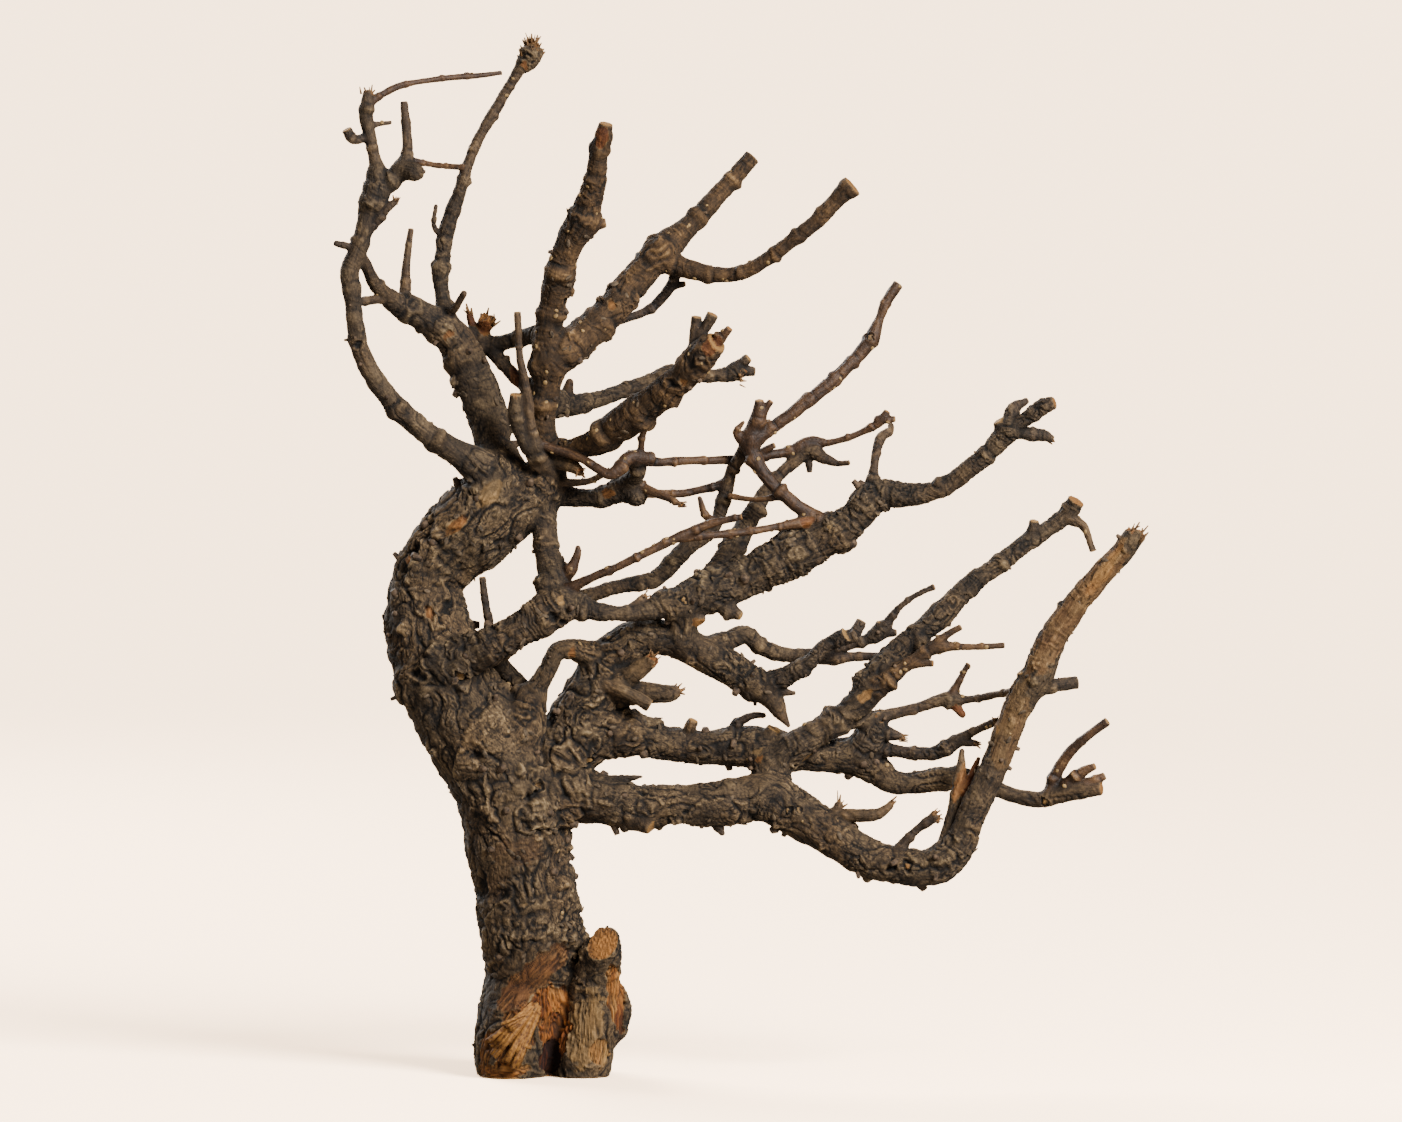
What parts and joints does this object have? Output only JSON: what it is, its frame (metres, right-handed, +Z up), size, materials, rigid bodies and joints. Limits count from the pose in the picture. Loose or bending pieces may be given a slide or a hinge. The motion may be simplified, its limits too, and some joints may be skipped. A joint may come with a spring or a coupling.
{
  "type": "dry root",
  "caption": "Dry, bark-covered gnarled root stock with a sawn foot, a curved stem and many crooked limbs; stands free on the flat cut.",
  "frame": {"origin": "on the sawn flat face of the foot, under the front of the stem", "axes": "+Z up out of the sawn face, +X right across the broad side, +Y away from the front"},
  "size_m": [0.237, 0.0729, 0.3048],
  "materials": {
    "bark": "rough dry bark, grey-brown with near-black crevices"
  },
  "bodies": {
    "root": {"dry_root": "bark"}
  },
  "joints": []
}
